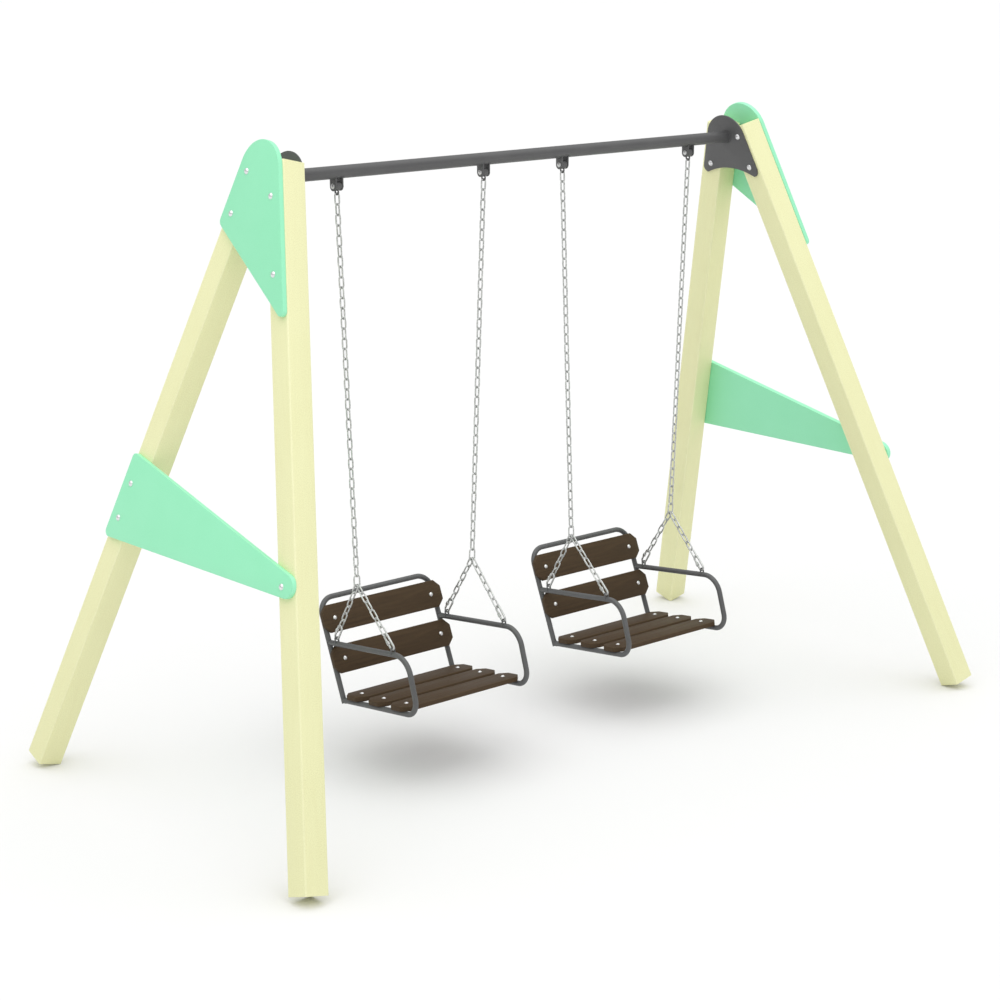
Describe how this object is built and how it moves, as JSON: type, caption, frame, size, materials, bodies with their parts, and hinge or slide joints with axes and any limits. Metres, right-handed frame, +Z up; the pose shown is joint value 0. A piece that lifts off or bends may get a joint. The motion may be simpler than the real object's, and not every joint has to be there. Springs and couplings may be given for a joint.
{
  "type": "swing set",
  "caption": "Play swing set: leaning timber A-frames with green panels, a steel crossbar, and chair seats with slats and armrests hung from branching chains.",
  "frame": {"origin": "on the ground below the middle of the crossbar, midway between the front and back feet", "axes": "+X along the crossbar to the right seen from the front, +Y to the back, +Z up; the seats face -Y"},
  "size_m": [3.5664, 1.8464, 2.473],
  "materials": {
    "post_paint": "square timber with a pale yellow opaque glaze, edges rounded",
    "panel": "mint green sheet, fine texture",
    "crossbar": "dark grey powder coat",
    "dark_steel": "dark grey powder coat",
    "chain": "bright galvanised",
    "fastener": "bright zinc",
    "bush": "plain bearing bronze",
    "washer": "nylon",
    "slat": "dark brown glaze, edges rounded"
  },
  "bodies": {
    "frame": {"post_left_front": "post_paint", "post_left_back": "post_paint", "post_right_front": "post_paint", "post_right_back": "post_paint", "top_gusset_left": "panel", "top_gusset_right": "panel", "lower_brace_left": "panel", "lower_brace_right": "panel", "flange_plate_left": "dark_steel", "flange_plate_right": "dark_steel", "crossbar": "crossbar", "gusset_screws": "fastener", "brace_screws": "fastener", "flange_screws": "fastener", "hanger_lugs_left": "dark_steel", "hanger_lugs_right": "dark_steel", "pivot_bolts": "fastener", "pivot_nuts": "fastener", "pivot_washers": "washer"},
    "left_chains": {"left_housings": "dark_steel", "left_bushes": "bush", "left_chain_outer": "chain", "left_chain_inner": "chain"},
    "left_seat": {"left_front_branches": "chain", "left_rear_branches": "chain", "left_quick_links": "chain", "left_staples": "dark_steel", "left_loop_outer": "dark_steel", "left_loop_inner": "dark_steel", "left_back_hoop": "dark_steel", "left_slat_tabs": "dark_steel", "left_seat_slat_rear": "slat", "left_seat_slat_middle": "slat", "left_seat_slat_front": "slat", "left_back_slat_lower": "slat", "left_back_slat_upper": "slat", "left_slat_bolts": "fastener", "left_slat_nuts": "fastener"},
    "right_chains": {"right_housings": "dark_steel", "right_bushes": "bush", "right_chain_outer": "chain", "right_chain_inner": "chain"},
    "right_seat": {"right_front_branches": "chain", "right_rear_branches": "chain", "right_quick_links": "chain", "right_staples": "dark_steel", "right_loop_inner": "dark_steel", "right_loop_outer": "dark_steel", "right_back_hoop": "dark_steel", "right_slat_tabs": "dark_steel", "right_seat_slat_rear": "slat", "right_seat_slat_middle": "slat", "right_seat_slat_front": "slat", "right_back_slat_lower": "slat", "right_back_slat_upper": "slat", "right_slat_bolts": "fastener", "right_slat_nuts": "fastener"}
  },
  "joints": [
    {"name": "left_swing", "type": "hinge", "parent": "frame", "child": "left_chains", "pos_m": [-0.555, 0, 2.28282], "axis": [1, 0, 0], "range_deg": [-60, 60]},
    {"name": "left_seat_rock", "type": "hinge", "parent": "left_chains", "child": "left_seat", "pos_m": [-0.555, 0, 0.75098], "axis": [1, 0, 0], "range_deg": [-20, 20]},
    {"name": "right_swing", "type": "hinge", "parent": "frame", "child": "right_chains", "pos_m": [0.555, 0, 2.28282], "axis": [1, 0, 0], "range_deg": [-60, 60]},
    {"name": "right_seat_rock", "type": "hinge", "parent": "right_chains", "child": "right_seat", "pos_m": [0.555, 0, 0.75098], "axis": [1, 0, 0], "range_deg": [-20, 20]}
  ]
}
